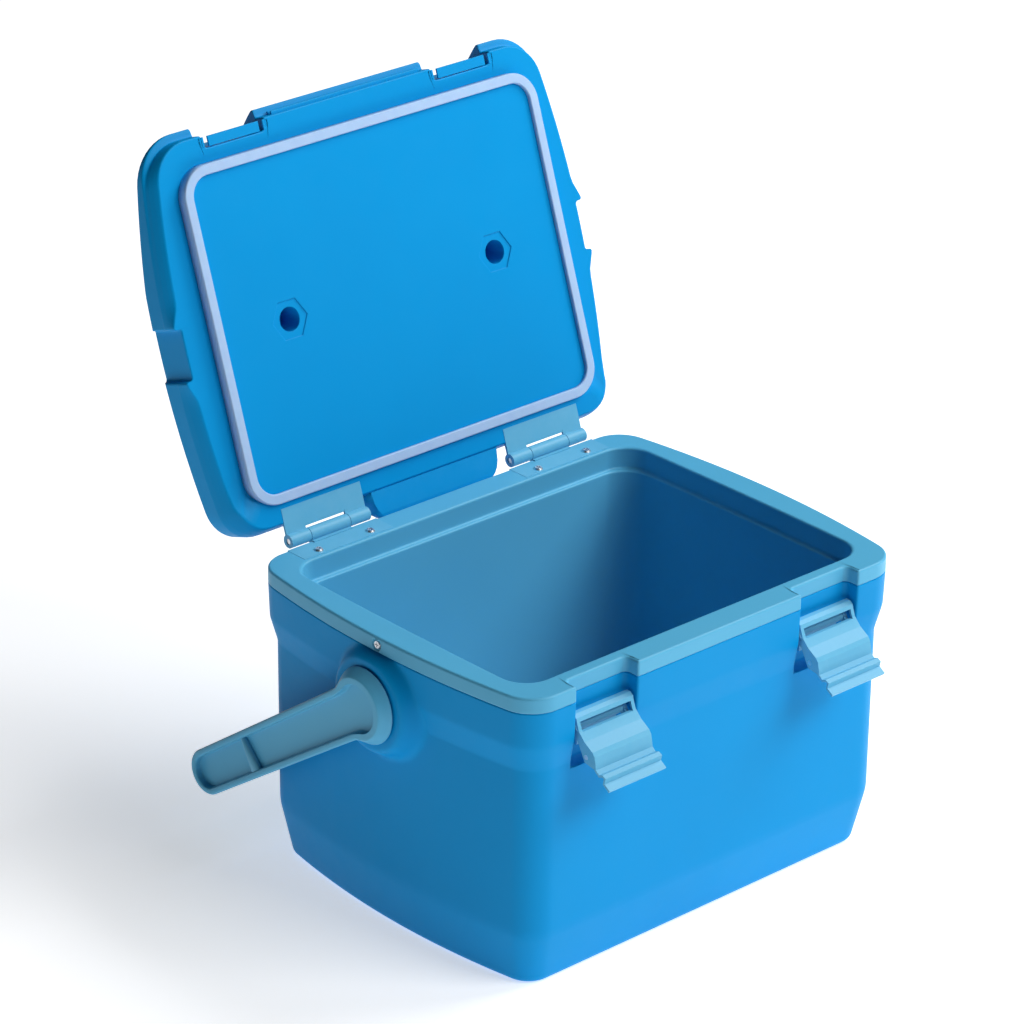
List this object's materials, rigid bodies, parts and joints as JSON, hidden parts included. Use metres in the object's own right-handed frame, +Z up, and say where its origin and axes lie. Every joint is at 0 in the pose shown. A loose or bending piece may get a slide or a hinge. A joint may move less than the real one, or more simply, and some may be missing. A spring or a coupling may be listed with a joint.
{
  "type": "insulated picnic cooler chest",
  "caption": "Hard-shell insulated cooler chest with a hinged lid, rubber lid seal, swinging bail handle and over-centre front latches.",
  "frame": {"origin": "middle of the underside, on the surface the chest stands on", "axes": "+Z up, -Y towards the latches at the front, +X to the right seen from the front"},
  "size_m": [0.3414, 0.3775, 0.4211],
  "materials": {
    "azure_plastic": "satin moulded",
    "sky_plastic": "satin moulded",
    "seal_rubber": "soft moulded",
    "steel": "bright zinc plated",
    "washer_plastic": "smooth",
    "foam": "foamed"
  },
  "bodies": {
    "tub": {"outer_shell": "azure_plastic", "inner_liner": "sky_plastic", "insulation_core": "foam", "liner_screws": "steel", "fill_plug": "azure_plastic", "hinge_left_body_leaf": "sky_plastic", "hinge_left_pin": "steel", "hinge_left_screws": "steel", "handle_left_stud": "steel", "handle_left_washer": "washer_plastic", "latch_left_bracket": "sky_plastic", "latch_left_screws": "steel", "latch_left_base_pin": "steel", "hinge_right_body_leaf": "sky_plastic", "hinge_right_pin": "steel", "hinge_right_screws": "steel", "handle_right_stud": "steel", "handle_right_washer": "washer_plastic", "latch_right_bracket": "sky_plastic", "latch_right_screws": "steel", "latch_right_base_pin": "steel"},
    "lid": {"lid_shell": "azure_plastic", "lid_pan": "azure_plastic", "lid_insulation": "foam", "lid_gasket": "seal_rubber", "lid_screws": "steel", "hinge_left_lid_leaf": "sky_plastic", "hinge_right_lid_leaf": "sky_plastic"},
    "handle": {"handle_bail": "sky_plastic"},
    "latch_left_link": {"latch_left_link": "sky_plastic", "latch_left_lever_pin": "steel"},
    "latch_left_lever": {"latch_left_lever": "sky_plastic"},
    "latch_right_link": {"latch_right_link": "sky_plastic", "latch_right_lever_pin": "steel"},
    "latch_right_lever": {"latch_right_lever": "sky_plastic"}
  },
  "joints": [
    {"name": "lid_hinge", "type": "hinge", "parent": "tub", "child": "lid", "pos_m": [0, 0.123, 0.192], "axis": [1, 0, 0], "range_deg": [0, 109]},
    {"name": "handle_swing", "type": "hinge", "parent": "tub", "child": "handle", "pos_m": [0, 0, 0.1482], "axis": [1, 0, 0], "range_deg": [0, 45]},
    {"name": "latch_left_swing", "type": "hinge", "parent": "tub", "child": "latch_left_link", "pos_m": [-0.0881, -0.1119, 0.1595], "axis": [-1, 0, 0], "range_deg": [0, 131.71]},
    {"name": "latch_left_hook", "type": "hinge", "parent": "latch_left_link", "child": "latch_left_lever", "pos_m": [-0.0881, -0.1254, 0.1467], "axis": [1, 0, 0], "range_deg": [0, 165.56]},
    {"name": "latch_right_swing", "type": "hinge", "parent": "tub", "child": "latch_right_link", "pos_m": [0.0881, -0.1119, 0.1595], "axis": [-1, 0, 0], "range_deg": [0, 131.71]},
    {"name": "latch_right_hook", "type": "hinge", "parent": "latch_right_link", "child": "latch_right_lever", "pos_m": [0.0881, -0.1254, 0.1467], "axis": [1, 0, 0], "range_deg": [0, 165.56]}
  ],
  "couplings": [
    {"joint": "latch_left_hook", "follows": "latch_left_swing", "ratio": 1.2569},
    {"joint": "latch_right_hook", "follows": "latch_right_swing", "ratio": 1.2569}
  ]
}
